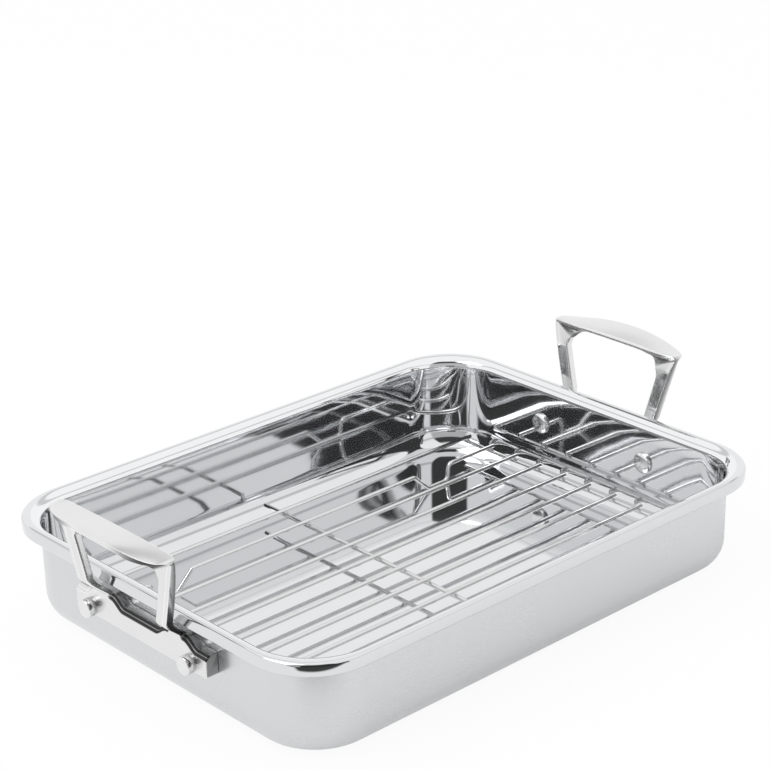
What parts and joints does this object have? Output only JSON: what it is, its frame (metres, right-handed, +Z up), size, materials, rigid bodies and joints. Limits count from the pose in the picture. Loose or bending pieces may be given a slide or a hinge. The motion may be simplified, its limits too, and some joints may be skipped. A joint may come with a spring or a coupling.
{
  "type": "roasting pan with rack",
  "caption": "Deep rectangular stainless steel roasting pan with rounded corners, a turned-down rim, riveted upright cast handles and a loose wire rack that stands inside on bent feet.",
  "frame": {"origin": "centre of the flat base, on the surface that the pan stands on", "axes": "+X along the pan towards the right-hand handle, +Y across it towards the back wall, +Z up"},
  "size_m": [0.4614, 0.3, 0.115],
  "materials": {
    "pan_steel": "satin outside, mirror polished inside and on the rim",
    "handle_steel": "fine satin casting with polished edges",
    "rivet_steel": "polished domed heads",
    "rack_wire": "bright plated wire"
  },
  "bodies": {
    "pan": {"pan_body": "pan_steel", "handle_right": "handle_steel", "handle_left": "handle_steel", "rivet_right_back": "rivet_steel", "rivet_right_front": "rivet_steel", "rivet_left_back": "rivet_steel", "rivet_left_front": "rivet_steel"},
    "rack": {"rack_foot_wire_back": "rack_wire", "rack_foot_wire_front": "rack_wire", "rack_long_wire_1": "rack_wire", "rack_long_wire_2": "rack_wire", "rack_long_wire_3": "rack_wire", "rack_long_wire_4": "rack_wire", "rack_long_wire_5": "rack_wire", "rack_long_wire_6": "rack_wire", "rack_long_wire_7": "rack_wire", "rack_long_wire_8": "rack_wire", "rack_cross_wire_left": "rack_wire", "rack_cross_wire_middle": "rack_wire", "rack_cross_wire_right": "rack_wire"}
  },
  "joints": [
    {"name": "rack_lift", "type": "slide", "parent": "pan", "child": "rack", "axis": [0, 0, 1], "range_m": [0, 0.12]}
  ]
}
